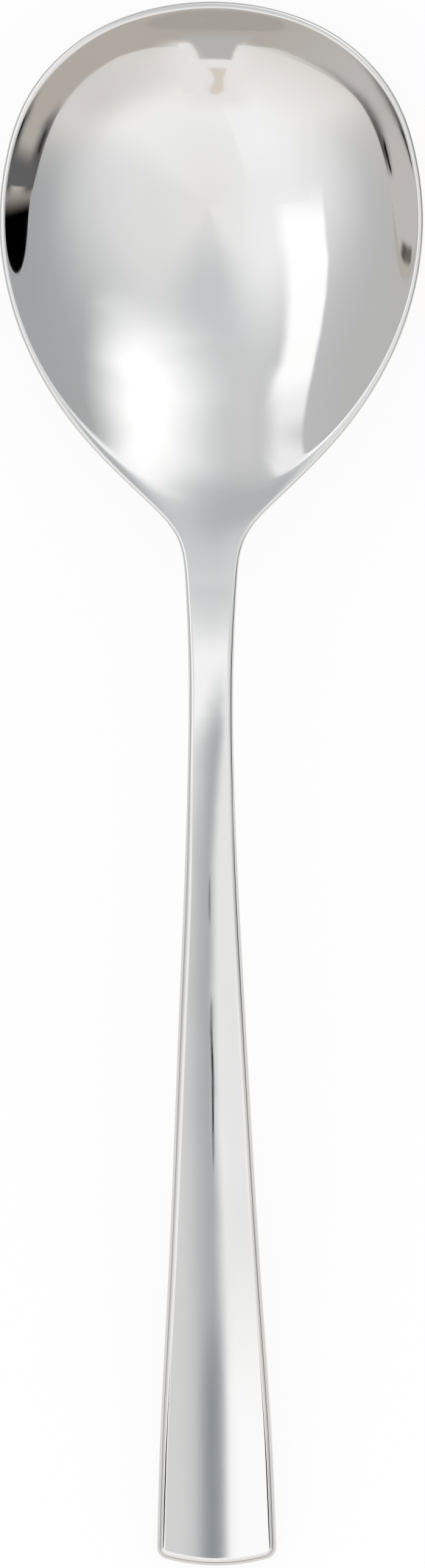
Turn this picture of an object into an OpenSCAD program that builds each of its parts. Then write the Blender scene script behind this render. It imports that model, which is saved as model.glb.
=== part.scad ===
// Rice serving spoon in polished steel, lying as it rests on a table.
// A forged bowl runs on through the neck into a tang. Two pressed half shells
// close round the tang as a hollow handle, and cement holds the tang inside.
// The tip of the bowl points to +Y and the mouth of the bowl opens to +Z.
// Places along the spoon are measured back from the tip.

/* [Overall] */
// Length from the tip of the bowl to the end of the handle
overall_length = 255; // [240:1:270]
// Height of the handle's highest place above the table
crest_height = 23.5; // [20:0.5:27]
// Distance of that highest place from the tip
crest_distance = 130; // [124:1:138]

/* [Bowl] */
// Width of the bowl over its rim
bowl_width = 69; // [64:0.5:74]
// Distance from the tip at which the bowl's own outline would close
bowl_length = 94.8; // [90:0.2:98]
// Depth of the hollow below its lip
bowl_depth = 13; // [11:0.5:15]
// Thickness of the bowl's floor
floor_thickness = 1.6; // [1.2:0.1:2.2]
// Width of the level lip at the sides
lip_width = 0.75; // [0.7:0.05:1]
// Width of the lip at the tip
tip_lip_width = 1.05; // [1:0.05:1.4]
// Width of the lip where the shoulders close the hollow
shoulder_lip_width = 1.8; // [1.5:0.05:2.4]
// Height of the lip's side
lip_thickness = 0.9; // [0.8:0.05:1.2]
// How far in the rounding of the lip's upper edge reaches at the sides
lip_rounding = 0.6; // [0.3:0.05:0.65]
// How far in it reaches at the tip
tip_lip_rounding = 0.9; // [0.5:0.05:0.95]
// How far down that rounding reaches
lip_rounding_depth = 0.5; // [0.3:0.05:0.6]
// Radius along the lip's lower edge
lip_underside_radius = 0.2; // [0.1:0.05:0.3]
// Depth ground off the underside as the flat that the bowl stands on
foot_depth = 0.2; // [0.1:0.05:0.3]

/* [Neck] */
// Distance of the narrowest place, where the handle is joined, from the tip
neck_distance = 116.5; // [113:0.5:120]
// Width of the neck there
neck_width = 7.2; // [6.6:0.1:8.4]
// Thickness of the neck there
neck_thickness = 5; // [4.6:0.1:6]
// Radius along the neck's long edges
neck_edge_radius = 0.85; // [0.7:0.05:1.2]
// How far the bowl's shoulders flow into the neck
shoulder_blend = 8.3; // [6:0.1:10]

/* [Handle] */
// Width of the handle at its end
end_width = 19.5; // [16:0.5:22]
// Thickness of the handle at its end
end_thickness = 6; // [5:0.2:7]
// Radius of the arc that closes the handle's end
end_radius = 32; // [24:1:40]
// Radius of the two corners beside that arc
corner_radius = 2; // [1.8:0.1:3]
// Radius along the handle's long edges
edge_radius = 1.3; // [1.1:0.1:1.5]
// Rise of the handle's crowned faces over the end's width
crown_height = 0.45; // [0.2:0.05:0.7]
// Wall of the two pressed shells
shell_wall = 0.9; // [0.7:0.05:1]

/* [Tang] */
// Length of the tang inside the handle
tang_length = 45; // [30:1:60]
// Width of the tang
tang_width = 4.6; // [4:0.1:5]
// Thickness of the tang
tang_thickness = 2.4; // [2:0.1:2.6]
// Chamfer at the tang's end
tang_chamfer = 0.5; // [0.3:0.1:0.8]
// How far the cement reaches past the tang
cement_cover = 4; // [2:0.5:8]
// Clearance between the cement, the tang and the shells
fit_gap = 0.05; // [0.03:0.01:0.1]

/* [Hidden] */

// Squares of the bowl's half width, as [share of bowl length, share of the largest square]
bowl_shares = [
    [0, 0], [0.03, 0.193], [0.08, 0.452], [0.16, 0.744], [0.26, 0.930], [0.38, 1],
    [0.5, 0.919], [0.62, 0.702], [0.74, 0.387], [0.87, 0.0735], [1, -0.004]
];
// Place of the bowl's widest line, as a share of the bowl's length
widest_share = 0.38;
// Growth from neck width to end width, as [share of the way to the end's corners, share of growth]
stem_shares = [
    [-0.2, 0], [0, 0], [0.17, 0.1], [0.35, 0.285], [0.52, 0.465], [0.7, 0.68], [0.86, 0.89], [1, 1]
];
// Climb of the top line from rim to crest, as [share of crest distance, share of the climb]
climb_shares = [[0, 0], [0.15, 0], [0.3, 0.01], [0.45, 0.08], [0.6, 0.27], [0.75, 0.57], [0.88, 0.86]];
// Fall of the top line from crest to end, as [share of the way, share of the fall]
fall_shares = [
    [0, 0], [0.12, 0.03], [0.26, 0.13], [0.42, 0.32], [0.58, 0.54], [0.74, 0.76], [0.88, 0.92], [1, 1]
];
// Part of the hollow's section that is steep wall, the rest being an even dish
wall_share = 0.27;
// Where that wall starts to fade and where none is left, as shares of the bowl's length
wall_fade_start_share = 0.045;
wall_fade_end_share = 0.67;
// How narrow the wall is, as a power: wide at the tip, narrow at the sides from this share on
tip_wall_power = 3.2;
side_wall_power = 6.8;
narrow_wall_share = 0.47;
// Softness of the hollow's edge in the bowl and at the shoulders, as shares of its section
rim_softness_share = 0.014;
shoulder_softness_share = 0.14;
// Where the underside starts to thicken and the lip to turn into the neck's edge
swell_share = 0.5;
edge_swell_share = 0.85;
// Part of the handle's side over which the neck's edge grows into the handle's
edge_growth_share = 0.3;
// Where the fan of lines that starts at the tip ends on the middle line
fan_start_share = 0.32;
fan_end_share = 0.9;

// Steps of the surface lines: along bowl, tang and handle, and across the sections
bowl_rows = 46;
tang_rows = 8;
side_rows = 26;
corner_rows = 3;
end_rows = 4;
fan_rows = 4;
hollow_steps = 10;
arc_steps = 3;
face_steps = 3;
slope_step = 0.001;

// Derived heights and places
rim_height = bowl_depth + floor_thickness - foot_depth;
under_depth = bowl_depth + floor_thickness - lip_thickness;
bowl_half = bowl_width / 2;
hollow_length = bowl_length - tip_lip_width - shoulder_lip_width;
end_half = end_width / 2;
widest_distance = bowl_length * widest_share;
tang_end = neck_distance + tang_length;
cement_end = tang_end + cement_cover;
corner_x = end_half - corner_radius;
end_centre = overall_length - end_radius;
corner_distance = end_centre + sqrt(pow(end_radius - corner_radius, 2) - pow(corner_x, 2));
corner_angle = atan2(corner_distance - end_centre, corner_x);

// Natural cubic splines: a curve is [places, values, bends]
function sweep_down(x, y, i = 1, c = 0, d = 0) = i >= len(x) - 1 ? [] :
    let (a = x[i] - x[i - 1], b = x[i + 1] - x[i], w = 2 * (a + b) - a * c)
    let (rise = 6 * ((y[i + 1] - y[i]) / b - (y[i] - y[i - 1]) / a))
    concat([[b / w, (rise - a * d) / w]], sweep_down(x, y, i + 1, b / w, (rise - a * d) / w));
function sweep_up(steps, i, next = 0) = i < 0 ? [next] :
    concat(sweep_up(steps, i - 1, steps[i][1] - steps[i][0] * next), [next]);
function spline(table) =
    let (x = [for (p = table) p[0]], y = [for (p = table) p[1]], steps = sweep_down(x, y))
    [x, y, concat([0], sweep_up(steps, len(steps) - 1))];
function cell(x, v, i = 0) = i < len(x) - 2 && v > x[i + 1] ? cell(x, v, i + 1) : i;
function along(c, v) =
    let (x = c[0], y = c[1], m = c[2], i = cell(x, v), h = x[i + 1] - x[i])
    let (t = min(max((v - x[i]) / h, 0), 1), r = 1 - t, past = v - x[i] - t * h)
    let (value = r * y[i] + t * y[i + 1] + ((pow(r, 3) - r) * m[i] + (pow(t, 3) - t) * m[i + 1]) * h * h / 6)
    let (chord = (y[i + 1] - y[i]) / h)
    value + past * (past < 0 ? chord - h * m[i + 1] / 6 : chord + h * m[i] / 6);

// Small helpers: a smooth step from 0 to 1, and a maximum with a rounded corner
function ease(t) = let (u = min(max(t, 0), 1)) u * u * u * (u * (6 * u - 15) + 10);
function soft_max(a, b, reach) = max(a, b) + reach / 6 * pow(max(0, 1 - abs(a - b) / reach), 3);
function mix(a, b, t) = a + (b - a) * t;
function to_world(p) = [p[0], overall_length / 2 - p[1], p[2]];

bowl_curve = spline(bowl_shares);
stem_curve = spline(stem_shares);
top_curve = spline(concat(
    [for (p = climb_shares) [p[0] * crest_distance, mix(rim_height, crest_height, p[1])]],
    [for (p = fall_shares) [mix(crest_distance, overall_length - edge_radius, p[0]),
        mix(crest_height, end_thickness, p[1])]]
));

// Outline seen from above: the square of the half width of the bowl alone, and the whole outline
function rim_square(s) = pow(bowl_half, 2) * along(bowl_curve, s / bowl_length);
function hollow_square(s) = pow(bowl_half - lip_width, 2)
    * along(bowl_curve, (s - tip_lip_width) / hollow_length);
function stem_half(s) = mix(neck_width, end_width,
    along(stem_curve, (s - neck_distance) / (corner_distance - neck_distance))) / 2;
function half_width(s) = s < widest_distance ? sqrt(max(rim_square(s), 0)) :
    sqrt(soft_max(rim_square(s), pow(stem_half(s), 2), pow(shoulder_blend, 2)));

// Side view: the top line, the thickness at the edge and the line midway between the faces
function top_line(s) = along(top_curve, s);
function handle_thickness(s) = mix(neck_thickness, end_thickness,
    (s - neck_distance) / (overall_length - neck_distance));
function swell(s) = ease((s - swell_share * bowl_length) / (neck_distance - swell_share * bowl_length));
function edge_thickness(s) = mix(lip_thickness, neck_thickness, swell(s));
function middle_line(s) = top_line(s) - handle_thickness(s) / 2;
function to_neck(s) = let (start = edge_swell_share * bowl_length)
    ease((s - start) / (neck_distance - start));
function crown(x, s) = crown_height * pow(x / end_half, 2) * to_neck(s);

// The hollow and the underside: how deep each dips at a place
function wall_at(s) = wall_share
    * (1 - ease((s / bowl_length - wall_fade_start_share) / (wall_fade_end_share - wall_fade_start_share)));
function wall_power(s) = mix(tip_wall_power, side_wall_power, ease(s / (narrow_wall_share * bowl_length)));
function dish(q, wall, n) = let (r = max(1 - q, 0)) 1 - (1 - wall) * r - wall * pow(r, n) * (1 + n * q);
function softness(s) = mix(rim_softness_share, shoulder_softness_share,
    pow(min(max((s - widest_distance) / (bowl_length - widest_distance), 0), 1), 3));
function dip(square, half, x, s) =
    dish(soft_max((square - x * x) / pow(half, 2), 0, softness(s)), wall_at(s), wall_power(s))
    * (1 - ease((s - bowl_length) / (neck_distance - bowl_length)));
function top_face(x, s) = top_line(s) - crown(x, s)
    - bowl_depth * dip(hollow_square(s), bowl_half - lip_width, x, s);
function under_face(x, s) = top_line(s) - edge_thickness(s) + crown(x, s)
    - under_depth * dip(rim_square(s), bowl_half, x, s);

// Points of the bowl's rim and its inward direction: u runs from 0 at the tip to 1 at the neck
function rim_point(u) = [half_width(neck_distance * u * u), neck_distance * u * u];
function rim_inward(u) = u <= 0 ? [0, 1] : u >= 1 ? [-1, 0] :
    let (d = rim_point(u + slope_step) - rim_point(u - slope_step)) [-d[1], d[0]] / norm(d);
function hollow_point(u) = u <= 0 ? [0, tip_lip_width] :
    let (s = neck_distance * u * u, inner = tip_lip_width + hollow_length * s / bowl_length)
    let (place = mix(inner, s, ease((s - widest_distance) / (bowl_length - widest_distance))))
    [max(sqrt(max(hollow_square(place), 0)), half_width(s) / 2), place];
function fan_place(s) = s >= fan_end_share * bowl_length ? s :
    mix(fan_start_share * bowl_length, fan_end_share * bowl_length, s / (fan_end_share * bowl_length));
function lip_rounding_at(s) = mix(tip_lip_rounding, lip_rounding, ease(s / widest_distance));
function high_round(s) = mix([lip_rounding_at(s), lip_rounding_depth],
    [neck_edge_radius, neck_edge_radius], to_neck(s));
function low_round(s) = mix(lip_underside_radius, neck_edge_radius, to_neck(s));

// One half section of the bowl, from the middle of the hollow round the lip to the underside's middle
function on_top(p) = [p[0], p[1], top_face(p[0], p[1])];
function on_underside(p) = [p[0], p[1], under_face(p[0], p[1])];
function upper_round(p, inward, r, a) =
    on_top(p + inward * r[0] * (1 - sin(a))) - [0, 0, r[1] * (1 - cos(a))];
function lower_round(p, inward, r, a) =
    on_underside(p + inward * r * (1 - sin(a))) + [0, 0, r * (1 - cos(a))];
function bowl_section(u) =
    let (rim = rim_point(u), inward = rim_inward(u), s = rim[1], middle = [0, fan_place(s)])
    let (hollow = hollow_point(u), high = high_round(s), low = low_round(s))
    concat(
        [for (i = [0:hollow_steps]) on_top(mix(middle, hollow, sin(90 * i / hollow_steps)))],
        [on_top((hollow + rim + inward * high[0]) / 2)],
        [for (i = [0:arc_steps]) upper_round(rim, inward, high, 90 * i / arc_steps)],
        [for (i = [arc_steps:-1:0]) lower_round(rim, inward, low, 90 * i / arc_steps)],
        [for (i = [hollow_steps - 1:-1:0])
            on_underside(mix(middle, rim + inward * low, sin(90 * i / hollow_steps)))]
    );

// The tang's section is the neck's, drawn in to the tang's size
function tang_section(s, width, thickness) = [
    for (p = bowl_section(1))
        [p[0] * width / neck_width, s,
         middle_line(s) + (p[2] - middle_line(neck_distance)) * thickness / neck_thickness]
];

// The handle's outline: station j runs down the side, round the corner and along the end's arc
handle_rows = side_rows + corner_rows + end_rows;
function side_place(j) = mix(neck_distance, corner_distance, j / side_rows);
function handle_point(j, inset) =
    j <= side_rows ? [stem_half(side_place(j)) - inset, side_place(j)] :
    j <= side_rows + corner_rows ?
        let (a = corner_angle * (j - side_rows) / corner_rows, r = corner_radius - inset)
        [corner_x + r * cos(a), corner_distance + r * sin(a)] :
    let (a = mix(corner_angle, 90, (j - side_rows - corner_rows) / end_rows), r = end_radius - inset)
    [j == handle_rows ? 0 : r * cos(a), end_centre + r * sin(a)];
function handle_middle(j) =
    let (first = side_rows - fan_rows, last = overall_length - edge_radius - corner_radius)
    [0, j <= first ? side_place(j) : mix(side_place(first), last, (j - first) / (handle_rows - first))];
function handle_face(p) = [p[0], p[1], top_line(p[1]) - crown_height * pow(p[0] / end_half, 2)];
function lowered(p, drop) = [p[0], p[1], p[2] - drop];
function at_seam(p) = [p[0], p[1], middle_line(p[1])];

// One half section of a shell: out over the face, round its edge to the seam and back inside
function long_edge(j) = mix(neck_edge_radius, edge_radius, ease(j / (side_rows * edge_growth_share)));
function shell_section(j) =
    let (r = long_edge(j), middle = handle_middle(j))
    let (face_edge = handle_point(j, r), ceiling_edge = handle_point(j, edge_radius))
    concat(
        [for (i = [0:face_steps - 1]) handle_face(mix(middle, face_edge, i / face_steps))],
        [for (i = [0:arc_steps]) let (a = 90 * i / arc_steps)
            lowered(handle_face(handle_point(j, r * (1 - sin(a)))), r * (1 - cos(a)))],
        [at_seam(handle_point(j, 0)), at_seam(handle_point(j, shell_wall))],
        [lowered(handle_face(handle_point(j, shell_wall)), edge_radius)],
        [for (i = [face_steps:-1:0])
            lowered(handle_face(mix(middle, ceiling_edge, i / face_steps)), shell_wall)]
    );
function turned_over(section) = [for (p = section) [p[0], p[1], 2 * middle_line(p[1]) - p[2]]];

// The cement's half section, just inside the shells' walls
function cement_section(s) =
    let (half = stem_half(s) - shell_wall - fit_gap, corner = stem_half(s) - edge_radius - fit_gap)
    let (drop = shell_wall + fit_gap, side = lowered(handle_face([half, s]), edge_radius + fit_gap))
    let (upper = [lowered(handle_face([0, s]), drop), lowered(handle_face([corner, s]), drop), side])
    concat(upper, turned_over([upper[2], upper[1], upper[0]]));

// Skin of a solid that is alike on both sides: each row is a half section that starts and ends
// on the middle plane, and a row at a tip lies wholly on that plane
module sweep_mirrored(rows, tip) {
    n = len(rows[0]);
    loop = 2 * n - 2;
    last = len(rows) - 1;
    points = [for (i = [0:last]) each concat(rows[i],
        tip && i == last ? [] : [for (k = [n - 2:-1:1]) [-rows[i][k][0], rows[i][k][1], rows[i][k][2]]])];
    function spot(i, k) = let (m = k % loop) i * loop + (tip && i == last && m >= n ? loop - m : m);
    faces = concat(
        [[for (k = [loop - 1:-1:0]) spot(0, k)]],
        tip ? [] : [[for (k = [0:loop - 1]) spot(last, k)]],
        [for (i = [0:last - 1], k = [0:loop - 1]) each [
            [spot(i, k), spot(i, k + 1), spot(i + 1, k + 1)],
            [spot(i, k), spot(i + 1, k + 1), spot(i + 1, k)]
        ]]
    );
    // Faces look outward whichever way the rows run and whichever end of a row is the upper one
    runs_back = rows[last][0][1] > rows[0][0][1];
    starts_high = rows[0][0][2] > rows[0][n - 1][2];
    outward = runs_back == starts_high ? faces : [for (f = faces) [for (i = [len(f) - 1:-1:0]) f[i]]];
    polyhedron([for (p = points) to_world(p)], outward);
}

// Forged bowl with its neck and tang, ground flat where it stands
module bowl() {
    tang = [
        tang_section(tang_end, tang_width - 2 * tang_chamfer, tang_thickness - 2 * tang_chamfer),
        for (i = [0:tang_rows]) tang_section(mix(tang_end - tang_chamfer, neck_distance, i / tang_rows),
            tang_width, tang_thickness)
    ];
    head = [for (i = [0:bowl_rows]) bowl_section(1 - i / bowl_rows)];
    color("silver") difference() {
        sweep_mirrored(concat(tang, head), true);
        translate([0, overall_length / 2 - widest_distance, -bowl_depth / 2])
            cube([bowl_width, bowl_length, bowl_depth], center = true);
    }
}

// Upper half shell of the handle
module handle_front() {
    color("gainsboro") sweep_mirrored([for (j = [0:handle_rows]) shell_section(j)], true);
}

// Lower half shell, the upper one turned over
module handle_back() {
    color("lightgray") sweep_mirrored([for (j = [0:handle_rows]) turned_over(shell_section(j))], true);
}

// Hard cement that fills the shells round the tang
module tang_cement() {
    cement_rows = [
        for (i = [0:tang_rows]) cement_section(mix(cement_end, neck_distance + fit_gap, i / tang_rows))
    ];
    pocket_rows = [
        for (i = [0:tang_rows]) tang_section(mix(tang_end + fit_gap, neck_distance, i / tang_rows),
            tang_width + 2 * fit_gap, tang_thickness + 2 * fit_gap)
    ];
    color("dimgray") difference() {
        sweep_mirrored(cement_rows, false);
        sweep_mirrored(pocket_rows, false);
    }
}

bowl();
handle_front();
handle_back();
tang_cement();
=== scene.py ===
"""Looks of the rice serving spoon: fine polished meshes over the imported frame, in a white studio."""

import math

import bmesh
import bpy
import numpy as np
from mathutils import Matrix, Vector


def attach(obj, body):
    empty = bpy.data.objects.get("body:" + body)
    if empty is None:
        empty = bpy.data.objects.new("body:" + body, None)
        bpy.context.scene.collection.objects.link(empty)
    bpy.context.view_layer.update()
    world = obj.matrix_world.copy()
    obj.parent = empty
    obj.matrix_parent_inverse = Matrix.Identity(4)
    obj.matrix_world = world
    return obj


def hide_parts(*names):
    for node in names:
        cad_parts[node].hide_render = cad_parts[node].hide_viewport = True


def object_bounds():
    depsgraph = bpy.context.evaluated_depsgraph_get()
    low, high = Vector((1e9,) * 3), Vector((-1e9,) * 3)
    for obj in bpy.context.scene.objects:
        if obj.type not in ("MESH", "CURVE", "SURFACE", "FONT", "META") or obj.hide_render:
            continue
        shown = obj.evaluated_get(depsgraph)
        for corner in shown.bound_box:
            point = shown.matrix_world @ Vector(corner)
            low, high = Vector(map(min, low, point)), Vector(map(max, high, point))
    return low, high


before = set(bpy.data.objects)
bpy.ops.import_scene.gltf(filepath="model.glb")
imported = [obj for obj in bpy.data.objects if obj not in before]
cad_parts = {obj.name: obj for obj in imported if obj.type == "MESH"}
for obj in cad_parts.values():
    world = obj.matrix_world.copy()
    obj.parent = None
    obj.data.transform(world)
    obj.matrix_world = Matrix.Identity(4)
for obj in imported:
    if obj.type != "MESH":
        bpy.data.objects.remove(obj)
cad_low, cad_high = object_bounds()

# Sizes in metres. Places along the spoon are measured back from the tip of the bowl.
MM = 0.001
LENGTH = cad_high.y - cad_low.y
CREST_HEIGHT = 23.5 * MM
CREST_DISTANCE = 130 * MM

BOWL_WIDTH = 69 * MM
BOWL_LENGTH = 94.8 * MM
BOWL_DEPTH = 13 * MM
FLOOR_THICKNESS = 1.6 * MM
LIP_WIDTH = 0.75 * MM
TIP_LIP_WIDTH = 1.05 * MM
SHOULDER_LIP_WIDTH = 1.8 * MM
LIP_THICKNESS = 0.9 * MM
LIP_ROUND = 0.6 * MM
TIP_LIP_ROUND = 0.9 * MM
LIP_ROUND_HEIGHT = 0.5 * MM
LIP_UNDERSIDE_RADIUS = 0.2 * MM
FOOT_DEPTH = 0.2 * MM

NECK_DISTANCE = 116.5 * MM
NECK_WIDTH = 7.2 * MM
NECK_THICKNESS = 5 * MM
NECK_EDGE_RADIUS = 0.85 * MM
SHOULDER_BLEND = 8.3 * MM

END_WIDTH = 19.5 * MM
END_THICKNESS = 6 * MM
END_RADIUS = 32 * MM
CORNER_RADIUS = 2 * MM
EDGE_RADIUS = 1.3 * MM
CROWN_HEIGHT = 0.45 * MM
SHELL_WALL = 0.9 * MM

TANG_LENGTH = 45 * MM
TANG_WIDTH = 4.6 * MM
TANG_THICKNESS = 2.4 * MM
TANG_CHAMFER = 0.5 * MM

# Curves of shares, as (share of the way, share of the change)
BOWL_SHARES = [
    (0, 0), (0.03, 0.193), (0.08, 0.452), (0.16, 0.744), (0.26, 0.930), (0.38, 1),
    (0.5, 0.919), (0.62, 0.702), (0.74, 0.387), (0.87, 0.0735), (1, -0.004),
]
STEM_SHARES = [
    (-0.2, 0), (0, 0), (0.17, 0.1), (0.35, 0.285), (0.52, 0.465), (0.7, 0.68), (0.86, 0.89), (1, 1),
]
CLIMB_SHARES = [(0, 0), (0.15, 0), (0.3, 0.01), (0.45, 0.08), (0.6, 0.27), (0.75, 0.57), (0.88, 0.86)]
FALL_SHARES = [
    (0, 0), (0.12, 0.03), (0.26, 0.13), (0.42, 0.32), (0.58, 0.54), (0.74, 0.76), (0.88, 0.92), (1, 1),
]

# The wall of the hollow: how much of the depth it takes, how steep it is, and where it starts and fades
TIP_WALL_SHARE = 0.2
SIDE_WALL_SHARE = 0.29
TIP_WALL_POWER = 3.2
SIDE_WALL_POWER = 6.8
TIP_WALL_START_SHARE = 0.35
SIDE_WALL_START_SHARE = 0.2
NARROW_WALL_SHARE = 0.47
WALL_FADE_START_SHARE = 0.045
WALL_FADE_END_SHARE = 0.67
RIM_SOFTNESS_SHARE = 0.014
SHOULDER_SOFTNESS_SHARE = 0.14

# Places along the bowl and the handle, as shares of their lengths
WIDEST_SHARE = 0.38
SWELL_SHARE = 0.5
EDGE_SWELL_SHARE = 0.85
FAN_START_SHARE = 0.32
FAN_END_SHARE = 0.9
EDGE_GROWTH_SHARE = 0.3

# How many rows and steps the surfaces have
BOWL_ROWS = 260
TANG_ROWS = 12
HOLLOW_STEPS = 80
LAND_STEPS = 8
ARC_STEPS = 10
SIDE_ROWS = 180
FAN_ROWS = 28
CORNER_ROWS = 16
END_ROWS = 28
FACE_STEPS = 26
SLOPE_STEP = 0.001
SHARP_ANGLE = math.radians(35)
MERGE_DISTANCE = MM / 1e5

# Derived heights and places
RIM_HEIGHT = BOWL_DEPTH + FLOOR_THICKNESS - FOOT_DEPTH
UNDER_DEPTH = BOWL_DEPTH + FLOOR_THICKNESS - LIP_THICKNESS
BOWL_HALF = BOWL_WIDTH / 2
HOLLOW_LENGTH = BOWL_LENGTH - TIP_LIP_WIDTH - SHOULDER_LIP_WIDTH
END_HALF = END_WIDTH / 2
WIDEST_DISTANCE = BOWL_LENGTH * WIDEST_SHARE
CORNER_X = END_HALF - CORNER_RADIUS
END_CENTRE = LENGTH - END_RADIUS
CORNER_DISTANCE = END_CENTRE + math.sqrt((END_RADIUS - CORNER_RADIUS) ** 2 - CORNER_X ** 2)
CORNER_ANGLE = math.atan2(CORNER_DISTANCE - END_CENTRE, CORNER_X)


def spline(table):
    """A natural cubic spline through the table's points, straight beyond its ends."""
    places, values = np.array(table, float).T
    steps = np.diff(places)
    matrix = np.eye(len(places))
    right = np.zeros(len(places))
    slopes = np.diff(values) / steps
    for i in range(1, len(places) - 1):
        matrix[i, i - 1:i + 2] = steps[i - 1], 2 * (steps[i - 1] + steps[i]), steps[i]
        right[i] = 6 * (slopes[i] - slopes[i - 1])
    bends = np.linalg.solve(matrix, right)

    def curve(where):
        where = np.asarray(where, float)
        i = np.clip(np.searchsorted(places, where) - 1, 0, len(steps) - 1)
        step = steps[i]
        t = np.clip((where - places[i]) / step, 0, 1)
        r = 1 - t
        past = where - places[i] - t * step
        bent = ((r ** 3 - r) * bends[i] + (t ** 3 - t) * bends[i + 1]) * step ** 2 / 6
        before = slopes[i] - step * bends[i + 1] / 6
        after = slopes[i] + step * bends[i] / 6
        return r * values[i] + t * values[i + 1] + bent + past * np.where(past < 0, before, after)

    return curve


def ease(t):
    """A smooth step from 0 to 1, level at both ends."""
    u = np.clip(t, 0, 1)
    return u ** 3 * (u * (6 * u - 15) + 10)


def soft_max(a, b, reach):
    """The larger of two values, rounded over where they differ by less than the reach."""
    return np.maximum(a, b) + reach / 6 * np.clip(1 - abs(a - b) / reach, 0, None) ** 3


def mix(a, b, t):
    """From a at 0 to b at 1."""
    return a + (b - a) * t


bowl_curve = spline(BOWL_SHARES)
stem_curve = spline(STEM_SHARES)
climb = [(way * CREST_DISTANCE, mix(RIM_HEIGHT, CREST_HEIGHT, rise)) for way, rise in CLIMB_SHARES]
fall = [
    (mix(CREST_DISTANCE, LENGTH - EDGE_RADIUS, way), mix(CREST_HEIGHT, END_THICKNESS, drop))
    for way, drop in FALL_SHARES
]
top_line = spline(climb + fall)


def rim_square(s):
    """The square of the bowl's half width, which stays smooth where the tip rounds off."""
    return BOWL_HALF ** 2 * bowl_curve(s / BOWL_LENGTH)


def hollow_square(s):
    """The same for the hollow inside the lip."""
    return (BOWL_HALF - LIP_WIDTH) ** 2 * bowl_curve((s - TIP_LIP_WIDTH) / HOLLOW_LENGTH)


def stem_half(s):
    """Half the width of the handle, without its corners."""
    way = (s - NECK_DISTANCE) / (CORNER_DISTANCE - NECK_DISTANCE)
    return mix(NECK_WIDTH, END_WIDTH, stem_curve(way)) / 2


def half_width(s):
    """Half the width of bowl and neck, joined by the shoulders."""
    bowl_square = rim_square(s)
    joined = soft_max(bowl_square, stem_half(s) ** 2, SHOULDER_BLEND ** 2)
    return np.sqrt(np.maximum(np.where(s < WIDEST_DISTANCE, bowl_square, joined), 0))


def swell(s):
    """How far the bowl has thickened towards the neck, from 0 to 1."""
    start = SWELL_SHARE * BOWL_LENGTH
    return ease((s - start) / (NECK_DISTANCE - start))


def handle_thickness(s):
    """Thickness of the handle's middle, which grows towards its end."""
    return mix(NECK_THICKNESS, END_THICKNESS, (s - NECK_DISTANCE) / (LENGTH - NECK_DISTANCE))


def middle_line(s):
    """Height of the plane that the handle's seam and the tang follow."""
    return top_line(s) - handle_thickness(s) / 2


def to_neck(s):
    """How far the lip has turned into the neck's rounded edge, from 0 to 1."""
    start = EDGE_SWELL_SHARE * BOWL_LENGTH
    return ease((s - start) / (NECK_DISTANCE - start))


def crown(x, s):
    """How much a crowned face falls from its middle."""
    return CROWN_HEIGHT * (x / END_HALF) ** 2 * to_neck(s)


def dish(q, s):
    """Depth of the hollow as a share of its deepest place, where q runs from 0 at the rim to 1 there."""
    way = s / BOWL_LENGTH
    fade = (way - WALL_FADE_START_SHARE) / (WALL_FADE_END_SHARE - WALL_FADE_START_SHARE)
    narrow = ease(way / NARROW_WALL_SHARE)
    wall = mix(TIP_WALL_SHARE, SIDE_WALL_SHARE, narrow) * (1 - ease(fade))
    power = mix(TIP_WALL_POWER, SIDE_WALL_POWER, narrow)
    late = 1 - mix(TIP_WALL_START_SHARE, SIDE_WALL_START_SHARE, narrow)
    left = np.maximum(1 - q, 0)
    return 1 - (1 - wall) * left - wall * left ** power * (1 + late * power * q)


def softness(s):
    """How softly the hollow starts at its rim."""
    way = np.clip((s - WIDEST_DISTANCE) / (BOWL_LENGTH - WIDEST_DISTANCE), 0, 1)
    return mix(RIM_SOFTNESS_SHARE, SHOULDER_SOFTNESS_SHARE, way ** 3)


def dip(square, half, x, s):
    """The dish of a hollow whose half width has this square, fading out over the neck."""
    fade = 1 - ease((s - BOWL_LENGTH) / (NECK_DISTANCE - BOWL_LENGTH))
    return dish(soft_max((square - x * x) / half ** 2, 0, softness(s)), s) * fade


def top_face(x, s):
    """Height of the bowl's upper face with its hollow."""
    return top_line(s) - crown(x, s) - BOWL_DEPTH * dip(hollow_square(s), BOWL_HALF - LIP_WIDTH, x, s)


def under_face(x, s):
    """Height of the bowl's underside, flat where it stands on the table."""
    edge = mix(LIP_THICKNESS, NECK_THICKNESS, swell(s))
    height = top_line(s) - edge + crown(x, s) - UNDER_DEPTH * dip(rim_square(s), BOWL_HALF, x, s)
    return np.maximum(height, 0)


def handle_face(x, s):
    """Height of the upper shell's crowned face."""
    return top_line(s) - CROWN_HEIGHT * (x / END_HALF) ** 2


def lifted(plan, face, rise=0.0):
    """Points of a plan, as (..., x and s), put on a face and raised."""
    x, s = plan[..., 0], plan[..., 1]
    return np.stack([x, s, face(x, s) + rise], axis=-1)


def fan_rows(start, end, shares):
    """Plan points from one row of points to another, by the given shares of the way."""
    return start[:, None, :] + (end - start)[:, None, :] * shares[None, :, None]


def arc_shares(count):
    """Angles of a quarter round, and the inward and downward shares of its radius there."""
    angle = np.linspace(0, math.pi / 2, count + 1)
    return 1 - np.sin(angle), 1 - np.cos(angle)


def rim_plan(u):
    """The bowl's outline, where u runs from 0 at the tip to 1 at the neck."""
    s = NECK_DISTANCE * u ** 2
    return np.stack([half_width(s), s], axis=-1)


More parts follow.
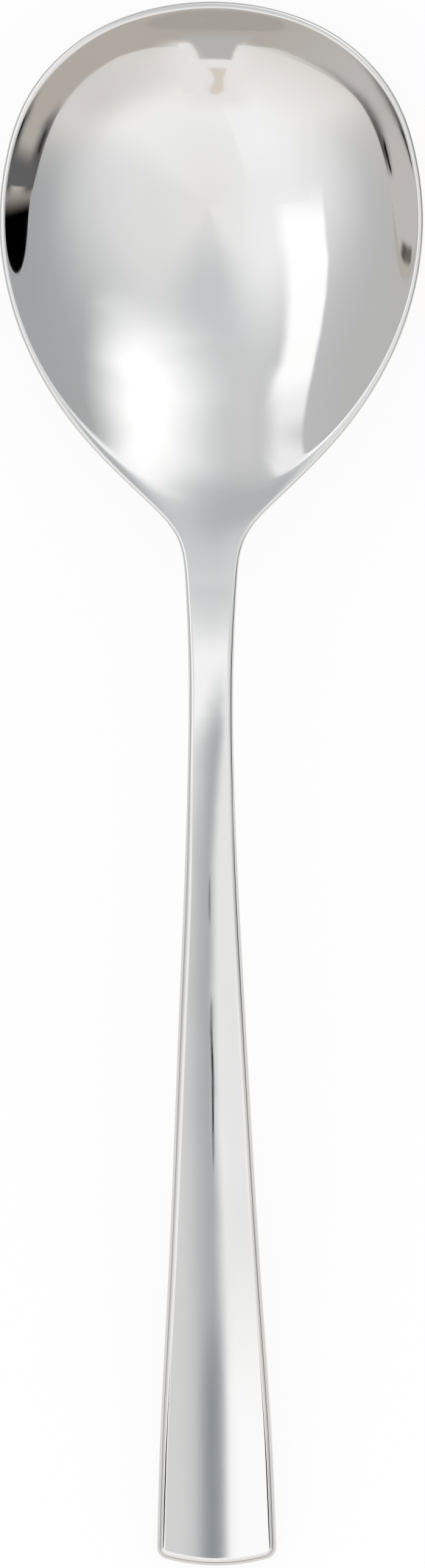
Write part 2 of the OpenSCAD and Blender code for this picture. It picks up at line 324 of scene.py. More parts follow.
def rim_inward(u):
    """Level directions that point into the bowl, square to its outline."""
    step = rim_plan(u + SLOPE_STEP) - rim_plan(u - SLOPE_STEP)
    inward = np.stack([-step[:, 1], step[:, 0]], axis=-1) / np.linalg.norm(step, axis=1)[:, None]
    inward[u <= 0] = (0, 1)
    inward[u >= 1] = (-1, 0)
    return inward


def hollow_plan(u):
    """The hollow's outline, which opens out into the neck."""
    s = NECK_DISTANCE * u ** 2
    inner = TIP_LIP_WIDTH + HOLLOW_LENGTH * s / BOWL_LENGTH
    place = mix(inner, s, ease((s - WIDEST_DISTANCE) / (BOWL_LENGTH - WIDEST_DISTANCE)))
    x = np.maximum(np.sqrt(np.maximum(hollow_square(place), 0)), half_width(s) / 2)
    x[u <= 0] = 0
    return np.stack([x, place], axis=-1)


def bowl_rows(u):
    """Half sections of the bowl: out from the middle of the hollow, round the lip and back underneath."""
    rim, inward, hollow = rim_plan(u), rim_inward(u), hollow_plan(u)
    s = rim[:, 1]
    fan_end = FAN_END_SHARE * BOWL_LENGTH
    fan = mix(FAN_START_SHARE * BOWL_LENGTH, fan_end, s / fan_end)
    middle = np.stack([np.zeros_like(s), np.where(s >= fan_end, s, fan)], axis=-1)
    growth = to_neck(s)
    lip = mix(TIP_LIP_ROUND, LIP_ROUND, ease(s / WIDEST_DISTANCE))
    upper = mix(lip, NECK_EDGE_RADIUS, growth)[:, None]
    height = mix(LIP_ROUND_HEIGHT, NECK_EDGE_RADIUS, growth)[:, None]
    lower = mix(LIP_UNDERSIDE_RADIUS, NECK_EDGE_RADIUS, growth)[:, None]
    across = np.sin(np.linspace(0, math.pi / 2, HOLLOW_STEPS + 1))
    land = (np.arange(1, LAND_STEPS) / LAND_STEPS) ** 2
    inset, drop = arc_shares(ARC_STEPS)
    high_plan = rim[:, None, :] + inward[:, None, :] * (upper * inset)[..., None]
    low_plan = rim[:, None, :] + inward[:, None, :] * (lower * inset[::-1])[..., None]
    under_plan = fan_rows(middle, rim + inward * lower, across[-2::-1])
    return np.concatenate([
        lifted(fan_rows(middle, hollow, across), top_face),
        lifted(fan_rows(hollow, rim + inward * upper, land), top_face),
        lifted(high_plan, top_face, -height * drop),
        lifted(low_plan, under_face, lower * drop[::-1]),
        lifted(under_plan, under_face),
    ], axis=1)


def tang_rows():
    """Half sections of the tang, which keep the neck's form at the tang's size."""
    neck = bowl_rows(np.array([1.0]))[0]
    tang_end = NECK_DISTANCE + TANG_LENGTH
    rows = []
    for i in range(-1, TANG_ROWS + 1):
        s = tang_end if i < 0 else mix(tang_end - TANG_CHAMFER, NECK_DISTANCE, i / TANG_ROWS)
        trim = 2 * TANG_CHAMFER if i < 0 else 0
        x = neck[:, 0] * (TANG_WIDTH - trim) / NECK_WIDTH
        rise = (neck[:, 2] - middle_line(NECK_DISTANCE)) * (TANG_THICKNESS - trim) / NECK_THICKNESS
        rows.append(np.stack([x, np.full_like(x, s), middle_line(s) + rise], axis=-1))
    return np.array(rows)


def handle_plan(inset):
    """The handle's outline, drawn in by an inset: along the side, round the corner and along the end."""
    side = np.linspace(NECK_DISTANCE, CORNER_DISTANCE, SIDE_ROWS + 1)
    corner = CORNER_ANGLE * np.arange(1, CORNER_ROWS + 1) / CORNER_ROWS
    end = mix(CORNER_ANGLE, math.pi / 2, np.arange(1, END_ROWS + 1) / END_ROWS)
    inset = inset + np.zeros(SIDE_ROWS + CORNER_ROWS + END_ROWS + 1)
    at_corner = slice(SIDE_ROWS + 1, SIDE_ROWS + CORNER_ROWS + 1)
    corner_r, end_r = CORNER_RADIUS - inset[at_corner], END_RADIUS - inset[at_corner.stop:]
    x = [stem_half(side) - inset[:SIDE_ROWS + 1], CORNER_X + corner_r * np.cos(corner), end_r * np.cos(end)]
    s = [side, CORNER_DISTANCE + corner_r * np.sin(corner), END_CENTRE + end_r * np.sin(end)]
    x, s = np.concatenate(x), np.concatenate(s)
    x[-1] = 0
    return np.stack([x, s], axis=-1)


def handle_middle():
    """Where each station's line starts on the middle of the handle."""
    side = np.linspace(NECK_DISTANCE, CORNER_DISTANCE, SIDE_ROWS + 1)
    first = SIDE_ROWS - FAN_ROWS
    last = LENGTH - EDGE_RADIUS - CORNER_RADIUS
    fan = np.linspace(side[first], last, FAN_ROWS + CORNER_ROWS + END_ROWS + 1)
    s = np.concatenate([side[:first], fan])
    return np.stack([np.zeros_like(s), s], axis=-1)


def shell_rows():
    """Half sections of the upper shell: out over its face, round the edge to the seam and back inside."""
    way = np.linspace(0, 1 / EDGE_GROWTH_SHARE, SIDE_ROWS + 1)
    radius = mix(NECK_EDGE_RADIUS, EDGE_RADIUS, ease(np.append(way, np.ones(CORNER_ROWS + END_ROWS))))
    middle, face_edge, ceiling = handle_middle(), handle_plan(radius), handle_plan(EDGE_RADIUS)
    inset, drop = arc_shares(ARC_STEPS)
    edge = np.stack([handle_plan(radius * share) for share in inset], axis=1)
    steps = np.linspace(0, 1, FACE_STEPS + 1)
    outer, inner = handle_plan(0)[:, None, :], handle_plan(SHELL_WALL)[:, None, :]

    def at_seam(x, s):
        return middle_line(s)

    return np.concatenate([
        lifted(fan_rows(middle, face_edge, steps[:-1]), handle_face),
        lifted(edge, handle_face, -radius[:, None] * drop),
        lifted(outer, at_seam),
        lifted(inner, at_seam),
        lifted(inner, handle_face, -EDGE_RADIUS),
        lifted(fan_rows(middle, ceiling, steps[::-1]), handle_face, -SHELL_WALL),
    ], axis=1)


def turned_over(rows):
    """The same rows mirrored in the seam's plane."""
    flipped = rows.copy()
    flipped[..., 2] = 2 * middle_line(rows[..., 1]) - rows[..., 2]
    return flipped


def skin(name, rows):
    """A closed mesh from half sections that start and end on the middle plane, and their mirror image.

    The last row lies wholly on that plane.
    """
    rows = rows * (1, -1, 1) + (0, LENGTH / 2, 0)
    count, half = rows.shape[:2]
    mirrored = rows[:, -2:0:-1] * (-1, 1, 1)
    loops = np.concatenate([rows, mirrored], axis=1)
    width = loops.shape[1]
    points = np.concatenate([loops[:-1].reshape(-1, 3), rows[-1]])
    index = np.arange(count * width).reshape(count, width)
    index[-1, half:] = index[-1, half - 2:0:-1]
    near, far = index[:-1].ravel(), index[1:].ravel()
    beside = np.roll(index, -1, axis=1)
    near_next, far_next = beside[:-1].ravel(), beside[1:].ravel()
    quads = np.stack([near, near_next, far_next, far], axis=1).tolist()
    mesh = bpy.data.meshes.new(name)
    mesh.from_pydata(points.tolist(), [], [index[0].tolist()] + quads)
    tidy = bmesh.new()
    tidy.from_mesh(mesh)
    bmesh.ops.dissolve_degenerate(tidy, edges=tidy.edges, dist=MERGE_DISTANCE)
    bmesh.ops.recalc_face_normals(tidy, faces=tidy.faces)
    tidy.to_mesh(mesh)
    tidy.free()
    mesh.shade_smooth()
    mesh.set_sharp_from_angle(angle=SHARP_ANGLE)
    piece = bpy.data.objects.new(name, mesh)
    bpy.context.scene.collection.objects.link(piece)
    return piece


# Materials
STEEL = (0.67, 0.66, 0.64)
CLOUDED_STEEL = (0.65, 0.64, 0.615)
POLISH_SCALE, POLISH_STRETCH = 900, (1, 0.035, 1)
CLOUD_SCALE, CLOUD_STRETCH = 55, (1, 0.6, 1)
MARK_RANGE, HAZE_RANGE, GRAIN_RANGE = (0.35, 0.7), (0.4, 0.7), (0.3, 0.7)
LEAST_ROUGHNESS, MARKED_ROUGHNESS = 0.02, 0.05
CLOUD_ROUGHNESS = 0.03
POLISH_STRENGTH, POLISH_HEIGHT = 0.03, 0.01 * MM
DARK_CEMENT, PALE_CEMENT = (0.2, 0.19, 0.17), (0.4, 0.39, 0.36)
CEMENT_ROUGHNESS = 0.85
GRAIN_SCALE = 1800
GRAIN_STRENGTH, GRAIN_HEIGHT = 0.5, 0.1 * MM


def new_material(name):
    """A new material, its node tree and its surface node."""
    material = bpy.data.materials.new(name)
    material.use_nodes = True
    tree = material.node_tree
    return material, tree, tree.nodes["Principled BSDF"]


def add(tree, kind, inputs=None, **settings):
    """A new shader node, with its settings and with its inputs as values or as other nodes' outputs."""
    node = tree.nodes.new("ShaderNode" + kind)
    for key, value in settings.items():
        setattr(node, key, value)
    for key, value in (inputs or {}).items():
        if isinstance(value, bpy.types.NodeSocket):
            tree.links.new(value, node.inputs[key])
        else:
            node.inputs[key].default_value = value
    return node


def ranged(tree, source, low, high, to_low=0.0, to_high=1.0, interpolation="LINEAR"):
    """The source brought from one range of values to another, and kept inside it."""
    inputs = {"Value": source, "From Min": low, "From Max": high, "To Min": to_low, "To Max": to_high}
    return add(tree, "MapRange", inputs, interpolation_type=interpolation).outputs["Result"]


def maths(tree, operation, a, b=0.0, c=0.0):
    """One step of arithmetic with shader values."""
    return add(tree, "Math", {0: a, 1: b, 2: c}, operation=operation).outputs["Value"]


def blended(tree, factor, a, b):
    """From colour a at 0 to colour b at 1."""
    return add(tree, "Mix", {"Factor": factor, "A": a, "B": b}, data_type="RGBA").outputs["Result"]


def noise(tree, seed, scale, stretch, detail):
    """Noise over the object, moved to another place by its seed."""
    place = add(tree, "TexCoord").outputs["Object"]
    mapping = add(tree, "Mapping", {"Vector": place, "Location": (seed, seed / 2, 0), "Scale": stretch})
    inputs = {"Vector": mapping.outputs["Vector"], "Scale": scale, "Detail": detail}
    return add(tree, "TexNoise", inputs).outputs["Fac"]


def polished_steel(name, seed):
    """Mirror polished stainless steel: fine lengthwise polishing marks and faint clouding."""
    material, tree, surface = new_material(name)
    surface.inputs["Metallic"].default_value = 1
    polish = noise(tree, seed, POLISH_SCALE, POLISH_STRETCH, detail=2)
    clouds = noise(tree, seed, CLOUD_SCALE, CLOUD_STRETCH, detail=3)
    marks = ranged(tree, polish, *MARK_RANGE, LEAST_ROUGHNESS, MARKED_ROUGHNESS)
    haze = ranged(tree, clouds, *HAZE_RANGE, 0.0, CLOUD_ROUGHNESS)
    colour = blended(tree, ranged(tree, clouds, *MARK_RANGE), (*STEEL, 1), (*CLOUDED_STEEL, 1))
    bump = add(tree, "Bump", {"Strength": POLISH_STRENGTH, "Distance": POLISH_HEIGHT, "Height": polish})
    tree.links.new(colour, surface.inputs["Base Color"])
    tree.links.new(maths(tree, "ADD", marks, haze), surface.inputs["Roughness"])
    tree.links.new(bump.outputs["Normal"], surface.inputs["Normal"])
    return material


def hard_cement():
    """Grey set filler with grains and pores."""
    material, tree, surface = new_material("hard_cement")
    surface.inputs["Roughness"].default_value = CEMENT_ROUGHNESS
    grain = noise(tree, 0.0, GRAIN_SCALE, (1, 1, 1), detail=6)
    colour = blended(tree, ranged(tree, grain, *GRAIN_RANGE), (*DARK_CEMENT, 1), (*PALE_CEMENT, 1))
    bump = add(tree, "Bump", {"Strength": GRAIN_STRENGTH, "Distance": GRAIN_HEIGHT, "Height": grain})
    tree.links.new(colour, surface.inputs["Base Color"])
    tree.links.new(bump.outputs["Normal"], surface.inputs["Normal"])
    return material


def make_spoon():
    """The forging and the two shells as fine meshes, and the filler's material on the CAD's cement."""
    u = np.linspace(1, 0, BOWL_ROWS + 1)
    shells = shell_rows()
    parts = [
        ("bowl_forging", np.concatenate([tang_rows(), bowl_rows(u)]), "bowl", "bowl_steel", 3.0),
        ("front_shell", shells, "handle_front", "handle_steel", 7.0),
        ("back_shell", turned_over(shells), "handle_back", "handle_steel", 11.0),
    ]
    for name, rows, node, slot, seed in parts:
        piece = skin(name, rows)
        piece.data.materials.append(polished_steel(name + "_steel", seed))
        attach(piece, "root")
        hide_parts(node)
    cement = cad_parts["tang_cement"]
    cement.data.materials.clear()
    cement.data.materials.append(hard_cement())


# Studio: a pale tent, soft boxes and dark flags that show only in the steel, and a white table top
TENT_RADIUS = 3.0
TENT_REACH = 110
TENT_GLOW = 1.6
SIDE_BLEND = 0.75
FLANK_ANGLE = math.radians(22)
FLANK_START, FLANK_END = 0.5, 1.0
HEM_DISTANCE = 2.5
HEM_FOOT = 95
PALE_HEM_DISTANCE = 2.3
VEIL_DISTANCE = 2.6
FOLD_DISTANCE = 2.0
LEFT_FLAG_DISTANCE = 1.7
LENS_DISTANCE = 1.5
STREAK_DISTANCE = 1.4
BOWL_CENTRE = Vector((0, LENGTH / 2 - WIDEST_DISTANCE, RIM_HEIGHT))
BOX_HEIGHT = 1.2
TAIL_HEIGHT = BOX_HEIGHT + 0.02
GAP_HEIGHT = BOX_HEIGHT + 0.1
NEAR_HEIGHT = 85 * MM
LAYER_STEP = 1 * MM
TABLE_HALF = 6.0
TABLE_COLOUR = (0.98, 0.98, 0.98)
TABLE_ROUGHNESS = 0.9
FLOOR_WHITE_SHARE = 0.88
CAMERA_LENS = 300
SENSOR = 36
CAMERA_REACH = 50
CAMERA_TILT = math.radians(2)
CAMERA_ROLL = math.radians(-0.15)

# Top edge of the tent's hem, as (azimuth, angle from straight up)
HEM_TOPS = [
    (0, 76), (16, 76.5), (26, 82), (60, 84), (120, 84), (152, 84), (162, 79.5), (170, 78.2),
    (180, 78.2), (192, 79), (206, 77.8), (222, 78.2), (236, 76.8), (248, 76.3), (256, 74.6), (268, 73),
    (278, 73), (286, 75.2), (298, 76.2), (312, 75.6), (328, 74.1), (342, 73.9), (352, 74.8), (360, 76),
]

# Tones of the tent, as (angle from straight up, tone, warmth)
TENT_HANDLE_SIDE = [
    (0, 0.88, 0.01), (12, 0.91, 0.005), (24, 0.93, 0.002), (36, 0.93, 0.008), (48, 0.9, 0.012),
    (60, 0.885, 0.02), (70, 0.86, 0.03), (76, 0.84, 0.033), (82, 0.81, 0.035), (100, 0.8, 0.03),
]
TENT_TIP_SIDE = [
    (0, 0.88, 0.01), (8, 0.85, 0), (15, 0.81, -0.005), (24, 0.775, -0.015), (36, 0.79, -0.012),
    (48, 0.79, -0.01), (60, 0.75, -0.01), (75, 0.7, 0), (100, 0.66, 0),
]
TENT_RIGHT = [
    (0, 0.88, 0.01), (24, 0.87, 0), (33, 0.86, 0), (40, 0.82, -0.004), (48, 0.77, -0.008), (56, 0.7, -0.01),
    (64, 0.65, -0.01), (74, 0.64, -0.01), (100, 0.62, -0.01),
]
TENT_LEFT = [
    (0, 0.89, 0.01), (14, 0.915, 0), (28, 0.93, 0), (36, 0.9, 0), (44, 0.85, 0), (52, 0.78, 0),
    (60, 0.73, 0), (70, 0.71, 0), (80, 0.71, 0.01), (100, 0.7, 0.01),
]


def linear(tone):
    """The light behind a tone of the picture, by the sRGB curve."""
    return tone / 12.92 if tone < 0.04045 else ((tone + 0.055) / 1.055) ** 2.4


def seen_as(tone, warmth=0.0):
    """The light that polished steel shows as this tone, where warmth is how much redder than blue it is."""
    shown = max(tone + warmth / 2, 0), tone, max(tone - warmth / 2, 0)
    return (*(linear(part) / share for part, share in zip(shown, STEEL)), 1)


def new_object(name, mesh, material):
    """A thing of the studio, which is no part of the spoon."""
    mesh.materials.append(material)
    thing = bpy.data.objects.new(name, mesh)
    bpy.context.scene.collection.objects.link(thing)
    return thing


def only_reflected(thing):
    """Lets a thing show in the steel and nowhere else."""
    thing.visible_camera = False
    thing.visible_diffuse = False
    thing.visible_shadow = False


def glow_material(name):
    """A new material with nothing but its output."""
    material = bpy.data.materials.new(name)
    material.use_nodes = True
    material.cycles.emission_sampling = "NONE"
    tree = material.node_tree
    tree.nodes.clear()
    return material, tree, add(tree, "OutputMaterial")


def tone_ramp(tree, share, stops):
    """A smooth run of tones, by the share of the tent's reach."""
    ramp = add(tree, "ValToRGB", {"Fac": share})
    ramp.color_ramp.interpolation = "B_SPLINE"
    elements = ramp.color_ramp.elements
    while len(elements) < len(stops):
        elements.new(1)
    for element, (angle, tone, warmth) in zip(elements, stops):
        element.position = angle / TENT_REACH
        element.color = [part / TENT_GLOW for part in seen_as(tone, warmth)]
    return ramp.outputs["Color"]


def fabric_colour(tree):
    """The tent's colour by the angle from straight up, blended between the tones of its four sides."""
    place = add(tree, "TexCoord").outputs["Object"]
    unit = add(tree, "VectorMath", {0: place}, operation="NORMALIZE").outputs["Vector"]
    axes = add(tree, "SeparateXYZ", {"Vector": unit}).outputs
    share = maths(tree, "DIVIDE", maths(tree, "ARCCOSINE", axes["Z"]), math.radians(TENT_REACH))
    sideways = maths(tree, "SQRT", maths(tree, "SUBTRACT", 1, maths(tree, "MULTIPLY", axes["Z"], axes["Z"])))
    forward = maths(tree, "DIVIDE", axes["Y"], sideways)
    across = maths(tree, "DIVIDE", axes["X"], sideways)
    ahead = maths(tree, "MULTIPLY", forward, math.sin(FLANK_ANGLE))
    right = maths(tree, "MULTIPLY_ADD", across, math.cos(FLANK_ANGLE), ahead)
    left = maths(tree, "MULTIPLY_ADD", across, -math.cos(FLANK_ANGLE), ahead)
    sides = (TENT_HANDLE_SIDE, TENT_TIP_SIDE, TENT_LEFT, TENT_RIGHT)
    ramps = [tone_ramp(tree, share, stops) for stops in sides]
    towards_tip = ranged(tree, forward, -SIDE_BLEND, SIDE_BLEND, interpolation="SMOOTHSTEP")
    to_left = ranged(tree, left, FLANK_START, FLANK_END, interpolation="SMOOTHSTEP")
    to_right = ranged(tree, right, FLANK_START, FLANK_END, interpolation="SMOOTHSTEP")
    colour = blended(tree, towards_tip, ramps[0], ramps[1])
    colour = blended(tree, to_left, colour, ramps[2])
    return blended(tree, to_right, colour, ramps[3])


def make_tent():
    """Pale fabric all round, whose tone changes with height and side."""
    mesh = bpy.data.meshes.new("tent")
    ball = bmesh.new()
    bmesh.ops.create_uvsphere(ball, u_segments=64, v_segments=32, radius=TENT_RADIUS)
    ball.to_mesh(mesh)
    ball.free()
    material, tree, output = glow_material("tent_fabric")
    glow = add(tree, "Emission", {"Color": fabric_colour(tree), "Strength": TENT_GLOW})
    tree.links.new(glow.outputs["Emission"], output.inputs["Surface"])
    only_reflected(new_object("tent", mesh, material))


def card_mesh(name, rows):
    """Faces through rows of two points, with places on them that run from 0 to 1 across and along."""
    rows = [[Vector(point) for point in row] for row in rows]
    middles = [(start + end) / 2 for start, end in rows]
    steps = [(b - a).length for a, b in zip(middles, middles[1:])]
    ways = [sum(steps[:i]) / sum(steps) for i in range(len(rows))]
    mesh = bpy.data.meshes.new(name)
    faces = [(2 * i, 2 * i + 1, 2 * i + 3, 2 * i + 2) for i in range(len(steps))]
    mesh.from_pydata([tuple(point) for row in rows for point in row], [], faces)
    uv = mesh.uv_layers.new(name="card")
    for loop, place in zip(mesh.loops, uv.data):
        place.uv = (loop.vertex_index % 2, ways[loop.vertex_index // 2])
    return mesh


def card_cover(tree, soft, one_sided):
    """How much of a card shows from place to place, and on a one-sided card nothing on its back."""
    where = add(tree, "UVMap", uv_map="card").outputs["UV"]
    axes = add(tree, "SeparateXYZ", {"Vector": where}).outputs
    cover = 1.0
    for axis, edge, share in zip("XXYY", (0, 1, 0, 1), soft):
        if share:
            inside = share if edge == 0 else 1 - share
            fade = ranged(tree, axes[axis], edge, inside, interpolation="SMOOTHSTEP")
            cover = maths(tree, "MULTIPLY", fade, cover)
    if one_sided:
        facing = maths(tree, "SUBTRACT", 1, add(tree, "NewGeometry").outputs["Backfacing"])
        cover = maths(tree, "MULTIPLY", facing, cover)
    return cover


def card(name, rows, tone, soft, warmth=0.0, one_sided=False):
    """A glowing card through rows of two points.

    Its four edges, which are the rows' starts and ends, the first row and the last row, fade over
    the soft shares of its size.
    """
    mesh = card_mesh(name, rows)
    material, tree, output = glow_material(name)
    cover = card_cover(tree, soft, one_sided)
    clear = add(tree, "BsdfTransparent").outputs["BSDF"]
    glow = add(tree, "Emission", {"Color": seen_as(tone, warmth)}).outputs["Emission"]
    blend = add(tree, "MixShader", {"Fac": cover, 1: clear, 2: glow})
    tree.links.new(blend.outputs["Shader"], output.inputs["Surface"])
    only_reflected(new_object(name, mesh, material))


def direction(azimuth, zenith):
    """A unit vector by its angle round from +X and its angle from straight up, in degrees."""
    a, z = math.radians(azimuth), math.radians(zenith)
    return Vector((math.cos(a) * math.sin(z), math.sin(a) * math.sin(z), math.cos(z)))


def over_bowl(rows, height=BOX_HEIGHT):
    """Rows of two points in a level plane over the bowl, as shares of its height."""
    return [[BOWL_CENTRE + Vector((x, y, 1)) * height for x, y in row] for row in rows]


def around_bowl(rows, distance):
    """Rows of (azimuth, first angle from straight up, last angle), at a distance from the bowl."""
    return [
        [BOWL_CENTRE + direction(azimuth, zenith) * distance for zenith in zeniths]
        for azimuth, *zeniths in rows
    ]


def over_handle(rows, layer):
    """Rows of (y, left end, right end) in millimetres, level over the handle, in a layer below the first."""
    height = NEAR_HEIGHT - layer * LAYER_STEP
    return [[Vector((x * MM, y * MM, height)) for x in ends] for y, *ends in rows]


def standing(rows, y):
    """Rows of (height, first end, last end) in millimetres, in an upright plane across the spoon.

    The front of a one-sided card whose rows rise and run from right to left looks towards the tip,
    and from left to right towards the handle.
    """
    return [[Vector((x * MM, y * MM, z * MM)) for x in ends] for z, *ends in rows]


def below_hem(rows):
    """Rows of (azimuth, first depth, last depth) below the hem's top edge, as rows for around_bowl."""
    azimuths, tops = zip(*HEM_TOPS)
    sunk = []
    for azimuth, *depths in rows:
        top = np.interp(azimuth % 360, azimuths, tops)
        sunk.append((azimuth, *(top + depth for depth in depths)))
    return sunk


def make_hem():
    """The darker hem of the tent, all round the bowl, and the dark folds below its top edge."""
    hem = [(azimuth, top, HEM_FOOT) for azimuth, top in HEM_TOPS]
    hem = around_bowl(hem, HEM_DISTANCE)
    card("tent_hem", hem, tone=0.665, soft=(0.03, 0.02, 0, 0), warmth=0.055)
    pale = below_hem([(150, 0.2, 14), (180, 0.1, 14), (215, 0.1, 14), (262, 0.1, 14)])
    pale = around_bowl(pale, PALE_HEM_DISTANCE)
    card("pale_hem", pale, tone=0.72, soft=(0.04, 0.1, 0.1, 0.4), warmth=0.022)
    veil = [(azimuth, 34, 80) for azimuth in (262, 274, 286, 298, 310, 330, 350)]
    veil = around_bowl(veil, VEIL_DISTANCE)
    card("left_veil", veil, tone=0.81, soft=(0.6, 0.02, 0.6, 0.4), warmth=0.022)
    right = below_hem([(184, 0, 6), (191, 0, 6), (200, 0, 5.5), (212, 0, 4.5), (228, 0, 3), (244, 0, 2)])
    card("right_fold", around_bowl(right, FOLD_DISTANCE), tone=0.32, soft=(0.12, 0.7, 0.15, 0.85))
    left = below_hem([(322, 0, 3), (330, 0, 4), (340, 0, 6), (352, 0, 8), (359, 0, 9)])
    card("left_fold", around_bowl(left, FOLD_DISTANCE), tone=0.33, soft=(0.1, 0.6, 0.5, 0.1))


def make_bowl_cards():
    """The soft boxes over the bowl, the gap between them and a bright fold of the tent."""
    strip = [
        ((-0.36, -0.1), (-0.8, -0.14)), ((-0.4, 0.01), (-0.86, 0.05)), ((-0.45, 0.18), (-0.95, 0.25)),
        ((-0.52, 0.34), (-1.05, 0.42)), ((-0.6, 0.6), (-1.15, 0.71)), ((-0.65, 0.88), (-1.2, 1.0)),
        ((-0.65, 1.06), (-1.2, 1.19)), ((-0.58, 1.25), (-1.2, 1.38)), ((-0.5, 1.4), (-1.2, 1.55)),
    ]
    card("strip_box", over_bowl(strip), tone=1.0, soft=(0.26, 0.1, 0.16, 0.16))
    tail = [((-0.5, 1.0), (-1.2, 1.15)), ((-0.5, 1.38), (-1.2, 1.55)), ((-0.5, 1.5), (-1.2, 1.75))]
    card("strip_box_tail", over_bowl(tail, TAIL_HEIGHT), tone=0.93, soft=(0.5, 0.12, 0.3, 0.3))
    wide = [
        ((0.05, 0.4), (0.85, 0.4)), ((-0.2, 0.8), (1.25, 0.8)),
        ((-0.35, 1.2), (1.5, 1.3)), ((-0.3, 1.8), (1.7, 1.9)),
    ]
    card("wide_box", over_bowl(wide), tone=1.04, soft=(0.5, 0.5, 0.5, 0.3))
    gap = [((-0.55, 0.7), (0.05, 0.7)), ((-0.7, 1.1), (-0.05, 1.1)), ((-0.7, 1.7), (-0.05, 1.7))]
    card("box_gap", over_bowl(gap, GAP_HEIGHT), tone=0.79, soft=(0.5, 0.5, 0.6, 0.2))
    bright = [
        ((-0.06, -0.78), (-0.5, -0.74)), ((-0.12, -0.41), (-0.6, -0.41)), ((-0.17, -0.26), (-0.7, -0.26)),
        ((-0.21, -0.17), (-0.7, -0.17)), ((-0.25, 0.0), (-0.7, 0.0)),
    ]
    card("tent_fold", over_bowl(bright), tone=0.94, soft=(0.03, 0.7, 0.25, 0.4))


def make_flags():
    """Dark things low at the sides of the bowl."""
    lens = [(-5, 76.5, 93), (2, 76.1, 93), (9, 75.5, 93), (13, 75.7, 93), (18, 76.6, 93), (26, 78, 93)]
    card("lens_flag", around_bowl(lens, LENS_DISTANCE), tone=0.0, soft=(0.02, 0.05, 0.25, 0.05))
    left = [(344, 75.6, 88), (350, 75.9, 88), (355.8, 76.6, 88)]
    card("left_flag", around_bowl(left, LEFT_FLAG_DISTANCE), tone=0.37, soft=(0.06, 0.1, 0.6, 0.04))
    left_streak = [(336, 75.4, 76.2), (341, 75.4, 77.2), (345, 75.8, 77.6), (347.5, 76.6, 77.4)]
    left_streak = around_bowl(left_streak, STREAK_DISTANCE)
    card("left_streak", left_streak, tone=0.05, soft=(0.3, 0.3, 0.4, 0.2))
    right_streak = [(199, 81.4, 82), (193, 80.6, 82.4), (188, 81, 82.9), (185.5, 82, 82.6)]
    right_streak = around_bowl(right_streak, STREAK_DISTANCE)
    card("right_streak", right_streak, tone=0.05, soft=(0.3, 0.3, 0.4, 0.2))
    spot = around_bowl([(171.5, 82.4, 84), (168.5, 80.8, 83.6), (165.5, 80.6, 81.6)], STREAK_DISTANCE)
    card("right_spot", spot, tone=0.3, soft=(0.35, 0.35, 0.35, 0.35), warmth=0.05)


def make_handle_cards():
    """The tones over the handle, as level cards that lie in layers."""
    fill = over_handle([(60, -16, -5), (0, -15, -5), (-30, -17, -4), (-150, -34, -1)], layer=0)
    card("handle_fill", fill, tone=0.82, soft=(0.2, 0.12, 0.5, 0.02), warmth=0.002)
    white = [(50, 1.5, 9), (20, -0.5, 12), (-20, -2.5, 14), (-80, -3, 20), (-125, -2, 28), (-150, -2, 34)]
    card("handle_white", over_handle(white, layer=1), tone=0.9, soft=(0.3, 0.2, 0.05, 0.02))
    end = over_handle([(-98, -1, 31), (-160, -1, 38)], layer=2)
    card("handle_end_white", end, tone=0.98, soft=(0.2, 0.2, 0.6, 0.02))
    shade = [
        (46, -2.6, 2.4), (36, -5, 3.6), (30, -7, 4), (19, -9, 3.8), (7, -10, 2.4),
        (-20, -12, 0.8), (-50, -14, 0.6), (-80, -16, 1.2), (-105, -17, 3), (-150, -20, 4.5),
    ]
    shade = over_handle(shade, layer=3)
    card("handle_shade", shade, tone=0.68, soft=(0.7, 0.32, 0.15, 0.02), warmth=-0.015)
    neck = over_handle([(57, -9, 6), (45, -11, 6), (28, -12, 4), (12, -12, 0)], layer=2)
    card("neck_white", neck, tone=0.95, soft=(0.1, 0.2, 0.3, 0.4))
    slit = over_handle([(-50, -2.5, -1.9), (-60, -2.9, -1.9), (-72, -2.7, -1.5), (-93, -2.6, -2.0)], layer=4)
    card("handle_slit", slit, tone=0.2, soft=(0.3, 0.3, 0.12, 0.15))
    short = over_handle([(-21, -2.6, -2.2), (-28, -2.9, -2.3), (-35, -2.7, -2.3)], layer=4)
    card("handle_short_slit", short, tone=0.35, soft=(0.3, 0.3, 0.3, 0.3))
    dark = over_handle([(-112, -10, 3), (-133, -11.5, 3), (-150, -12, 3)], layer=3.5)
    card("handle_end_shade", dark, tone=0.58, soft=(0.5, 0.5, 0.5, 0.02), warmth=-0.02)


def make_hairlines():
    """Thin dark cards beside the handle's end, whose backs face the bowl."""
    for side, name, heights in ((-1, "left_hairline", (38, 90)), (1, "right_hairline", (90, 38))):
        ends = ((33.5, -121), (39.8, -139))
        rows = [[Vector((side * x * MM, y * MM, z * MM)) for z in heights] for x, y in ends]
        card(name, rows, tone=0.05, soft=(0.25, 0.25, 0.2, 0.1), one_sided=True)


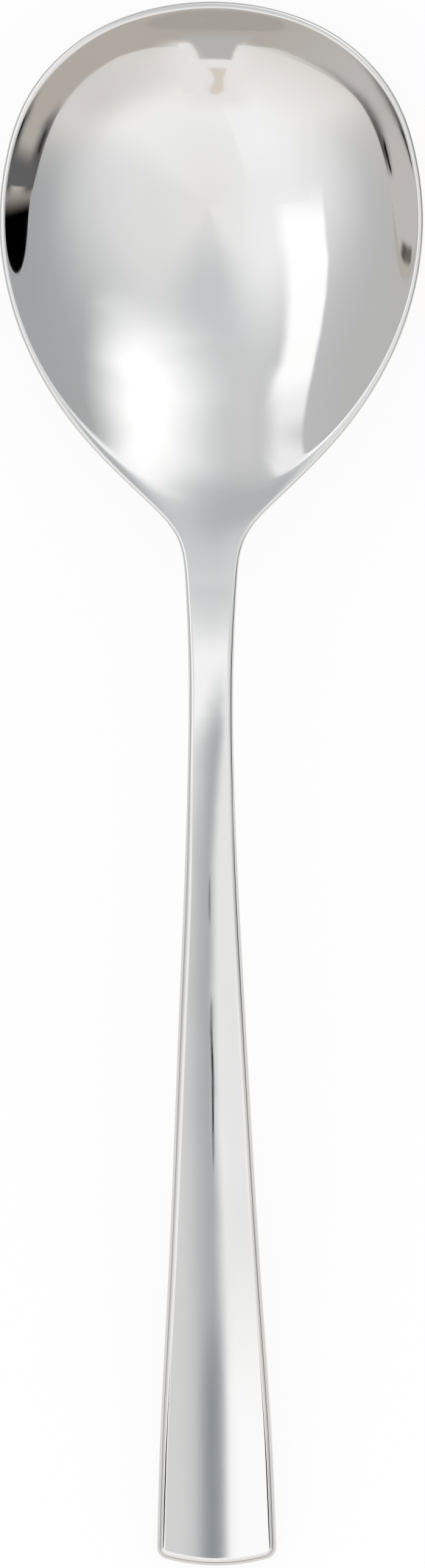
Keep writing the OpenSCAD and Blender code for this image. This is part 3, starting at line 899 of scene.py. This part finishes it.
def make_standing_cards():
    """Upright cards across the neck, which the bowl's tip wall and the shoulders mirror."""
    screen = standing([(21, 7, -9), (50, 8, -12), (92, 9, -20)], y=66)
    card("bowl_screen", screen, tone=0.895, soft=(0.35, 0.35, 0.06, 0.35), warmth=0.018, one_sided=True)
    patch = [(37, -0.8, -4.7), (41, -1.9, -4.5), (47, -2.5, -4.4), (59, -1.5, -5.1), (64, -2.8, -3.6)]
    patch = standing(patch, y=67)
    card("tan_patch", patch, tone=0.79, soft=(0.08, 0.08, 0.08, 0.08), warmth=0.08, one_sided=True)
    collar = standing([(18, 2.5, -8), (25, 0.8, -5.6), (28.5, 0.4, -5.3), (32.5, 0.1, -5.2)], y=67.5)
    card("grey_collar", collar, tone=0.7, soft=(0.1, 0.1, 0.3, 0.06), warmth=0.01, one_sided=True)
    shoulder = standing([(24, -14, 6), (150, -14, 6)], y=75)
    soft = (0.02, 0.55, 0.22, 0.6)
    card("shoulder_shade", shoulder, tone=0.7, soft=soft, warmth=-0.01, one_sided=True)
    low = standing([(14.2, 15, -17), (17.8, 15, -17)], y=67.5)
    card("low_strip", low, tone=0.63, soft=(0.2, 0.2, 0.05, 0.15), warmth=0.045, one_sided=True)


def make_floor():
    """A pale table top that is white to the camera and in the steel, and keeps the spoon's shadow."""
    mesh = bpy.data.meshes.new("table_top")
    corners = [(x * TABLE_HALF, y * TABLE_HALF, 0) for x, y in ((-1, -1), (1, -1), (1, 1), (-1, 1))]
    mesh.from_pydata(corners, [], [(0, 1, 2, 3)])
    material, tree, surface = new_material("pale_table")
    surface.inputs["Base Color"].default_value = (*TABLE_COLOUR, 1)
    surface.inputs["Roughness"].default_value = TABLE_ROUGHNESS
    surface.inputs["Specular IOR Level"].default_value = 0
    rays = add(tree, "LightPath").outputs
    seen = maths(tree, "MAXIMUM", rays["Is Camera Ray"], rays["Is Glossy Ray"])
    seen = maths(tree, "MAXIMUM", seen, rays["Is Transmission Ray"])
    white = add(tree, "Emission").outputs["Emission"]
    share = maths(tree, "MULTIPLY", seen, FLOOR_WHITE_SHARE)
    blend = add(tree, "MixShader", {"Fac": share, 1: surface.outputs["BSDF"], 2: white})
    tree.links.new(blend.outputs["Shader"], tree.nodes["Material Output"].inputs["Surface"])
    new_object("table_top", mesh, material)


def make_world():
    """The white light that falls on the table top."""
    world = bpy.data.worlds.new("white_room")
    world.use_nodes = True
    world.node_tree.nodes["Background"].inputs["Color"].default_value = (1, 1, 1, 1)
    bpy.context.scene.world = world


def make_camera():
    """A long lens almost straight above the spoon."""
    data = bpy.data.cameras.new("camera")
    data.lens = CAMERA_LENS
    data.sensor_width = SENSOR
    data.clip_end = CAMERA_REACH
    camera = bpy.data.objects.new("camera", data)
    bpy.context.scene.collection.objects.link(camera)
    distance = LENGTH * CAMERA_LENS / SENSOR
    target = Vector((0, 0, RIM_HEIGHT))
    away = Vector((math.sin(CAMERA_TILT), 0, math.cos(CAMERA_TILT)))
    camera.location = target + away * distance
    camera.rotation_euler = (0, CAMERA_TILT, CAMERA_ROLL)
    bpy.context.scene.camera = camera


make_camera()
make_spoon()
make_world()
make_floor()
make_tent()
make_hem()
make_bowl_cards()
make_flags()
make_handle_cards()
make_hairlines()
make_standing_cards()
bpy.context.scene.view_settings.view_transform = "Standard"
